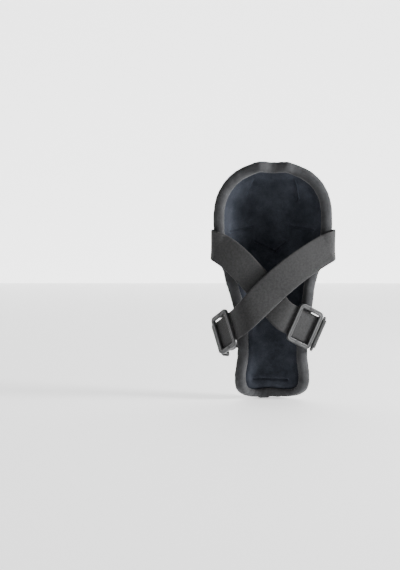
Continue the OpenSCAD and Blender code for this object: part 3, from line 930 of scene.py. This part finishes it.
def build_tab_stitches(side, seat_z):
    """A sewn box with a cross on the tab's seat."""
    hi, lo = side.seat_wrap - 0.03, side.seat_wrap - SEAT_WRAP + 0.03
    dz = TAB_W / 2 - 2.5 * MM
    corners = [(hi, dz), (lo, dz), (lo, -dz), (hi, -dz), (hi, dz), (lo, -dz), (lo, dz), (hi, -dz)]
    line, ns = [], []
    for (a0, z0), (a1, z1) in zip(corners, corners[1:]):
        for k in range(8):
            a, z = a0 + (a1 - a0) * k / 8, seat_z + z0 + (z1 - z0) * k / 8
            x = -sec_r(seat_z) * math.sin(a)
            line.append(on_pad(x, seat_z, SKIN_GAP + TAB_T) + Vector((0, 0, z - seat_z)))
            ns.append(normal(x, seat_z))
    piece = stitch_row("tab_" + side.name + "_stitches", line, ns, 2.6 * MM, 1.9 * MM, 0.28 * MM)
    finish_side(side, piece, "thread", "forearm")


# ---- hard plates ----
PLATE_T, PLATE_WRAP = 2.5 * MM, math.radians(44)
PLATE_LOW, PLATE_HIGH, PLATE_CORNER = 26 * MM, 204 * MM, 22 * MM
CUP_PLATE_LOW = CUP_Z + 6.5 * MM
CUP_PLATE_TOP = CUP_Z + CUP_RISE * 0.84


def plate_half(z):
    end = min(z - PLATE_LOW, PLATE_HIGH - z) / PLATE_CORNER
    k = 1 - (1 - min(1, max(0, end))) ** 3
    return sec_r(z) * math.sin(PLATE_WRAP) * (0.62 + 0.38 * k)


def cup_plate_half(z):
    k = (z - CUP_Z) / (CUP_PLATE_TOP - CUP_Z)
    return max(22 * MM * 0.7, CUP_HALF * 0.8 * max(0, 1 - k ** CUP_N) ** (1 / CUP_N))


def plate_mesh(name, rows, half, relief):
    """A plate over the cover: a grid of places, thick, with rolled edges and moulded relief."""
    cols = 60
    front, back = [], []
    for z in rows:
        w = half(z)
        for c in range(cols + 1):
            u = -1 + 2 * c / cols
            x = w * math.sin(math.pi / 2 * u)
            v = (z - rows[0]) / (rows[-1] - rows[0])
            edge = min(1 - abs(math.sin(math.pi / 2 * u)), min(v, 1 - v) * 1.6)
            roll = 1.1 * MM * math.exp(-(edge / 0.02) ** 2)
            front.append(on_pad(x, z, SKIN_GAP + PLATE_T + relief(x, z, w, v) - roll))
            back.append(on_pad(x, z, SKIN_GAP + 0.05 * MM))
    k, n = cols + 1, len(rows)
    off = k * n
    faces = []
    for r in range(n - 1):
        for c in range(cols):
            a = r * k + c
            faces.append((a, a + 1, a + k + 1, a + k))
            faces.append((off + a, off + a + k, off + a + k + 1, off + a + 1))
        faces.append((r * k, (r + 1) * k, off + (r + 1) * k, off + r * k))
        faces.append((r * k + cols, off + r * k + cols, off + (r + 1) * k + cols, (r + 1) * k + cols))
    for c in range(cols):
        faces.append((c, off + c, off + c + 1, c + 1))
        a = (n - 1) * k + c
        faces.append((a, a + 1, off + a + 1, off + a))
    return make_object(name, front + back, faces)


def step(value, edge, width):
    return smooth((value - edge) / width + 0.5)


def forearm_relief(x, z, w, v):
    """A raised spine down the middle and a shallow flute each side of it."""
    ends = step(v, 0.09, 0.05) * (1 - step(v, 0.91, 0.05))
    spine = (1 - step(abs(x), w * 0.2, 2.5 * MM)) * 1.4 * MM
    flute = math.exp(-((abs(x) - w * 0.62) / (w * 0.1)) ** 2) * 1.0 * MM
    return (spine - flute) * ends


def cup_relief(x, z, w, v):
    """A raised oval over the elbow's point, ringed by a groove."""
    rho = math.hypot(x / (34 * MM), (z - CUP_Z - 27 * MM) / (17 * MM))
    return (1 - step(rho, 1, 0.1)) * 1.3 * MM - math.exp(-((rho - 1.22) / 0.09) ** 2) * 0.8 * MM


def build_plates():
    rows = [PLATE_LOW + (PLATE_HIGH - PLATE_LOW) * i / 90 for i in range(91)]
    plate = plate_mesh("forearm_hard_plate", rows, plate_half, forearm_relief)
    finish_piece(plate, "plate", "forearm", ("forearm_plate",))
    span = CUP_PLATE_TOP - 0.5 * MM - CUP_PLATE_LOW
    rows = [CUP_PLATE_LOW + span * math.sin(math.pi / 2 * i / 60) for i in range(61)]
    plate = plate_mesh("cup_hard_plate", rows, cup_plate_half, cup_relief)
    finish_piece(plate, "plate", "cup", ("cup_plate",))
    for name in ("forearm_rivets", "cup_rivets", "forearm_washers", "cup_washers"):
        for material_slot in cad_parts[name].material_slots:
            material_slot.material = MATERIALS["rivet"]


# ---- studio and camera ----
FRAME_WIDTH = 0.512        # width of the view at the guard
VIEW_DISTANCE = 1.25
VIEW_X, VIEW_Z = -0.0933, 0.1472
VIEW_RISE = math.radians(3)
FLOOR_Z = -0.002           # just below the wrist end


def area_light(name, size, power, place, aim, colour=(1, 1, 1)):
    data = bpy.data.lights.new(name, "AREA")
    data.size, data.energy, data.color = size, power, colour
    obj = bpy.data.objects.new(name, data)
    obj.location = place
    obj.rotation_euler = (Vector(aim) - Vector(place)).to_track_quat("-Z", "Y").to_euler()
    bpy.context.scene.collection.objects.link(obj)


def build_stage():
    corners = [(-4, -3, FLOOR_Z), (4, -3, FLOOR_Z), (4, 3, FLOOR_Z), (-4, 3, FLOOR_Z)]
    floor = make_object("floor", corners, [(0, 1, 2, 3)])
    mat, _, shader = new_material("pale_floor", (0.95, 0.95, 0.95), 0.7)
    floor.data.materials.append(mat)
    shader.inputs["Emission Color"].default_value = (1, 1, 1, 1)
    shader.inputs["Emission Strength"].default_value = 0.8
    world = bpy.data.worlds.new("studio")
    world.use_nodes = True
    world.node_tree.nodes["Background"].inputs["Color"].default_value = (1, 1, 1, 1)
    world.node_tree.nodes["Background"].inputs["Strength"].default_value = 0.2
    bpy.context.scene.world = world
    backdrop = make_object("backdrop", [(-6, 3, -1), (6, 3, -1), (6, 3, 6), (-6, 3, 6)], [(0, 1, 2, 3)])
    mat, _, shader = new_material("bright_backdrop", (1, 1, 1), 0.9)
    shader.inputs["Emission Color"].default_value = (1, 1, 1, 1)
    shader.inputs["Emission Strength"].default_value = 2.2
    backdrop.data.materials.append(mat)
    area_light("key", 0.5, 105, (1.8, -0.45, 0.55), (0, 0, 0.17))
    area_light("front", 1.2, 3, (-1.3, -1.8, 0.7), (0, 0, 0.15))


def build_camera():
    data = bpy.data.cameras.new("camera")
    data.sensor_fit, data.sensor_width = "HORIZONTAL", 36
    data.lens = 36 * VIEW_DISTANCE / FRAME_WIDTH
    cam = bpy.data.objects.new("camera", data)
    back, up = VIEW_DISTANCE * math.cos(VIEW_RISE), VIEW_DISTANCE * math.sin(VIEW_RISE)
    cam.location = (VIEW_X, -back, VIEW_Z + up)
    cam.rotation_euler = (math.pi / 2 - VIEW_RISE, 0, 0)
    bpy.context.scene.collection.objects.link(cam)
    bpy.context.scene.camera = cam


build_camera()
build_stage()
build_pad()
build_binding()
build_binding_stitches()
seam_stitches("wrist_seam_stitches", CREASES[6][:2], 0.1 * MM)
for side in (LEFT, RIGHT):
    build_strap(side)
    build_strap_turn(side)
    build_strap_end(side)
    build_buckle(side)
    build_ring(side)
    build_tab(side)
build_plates()
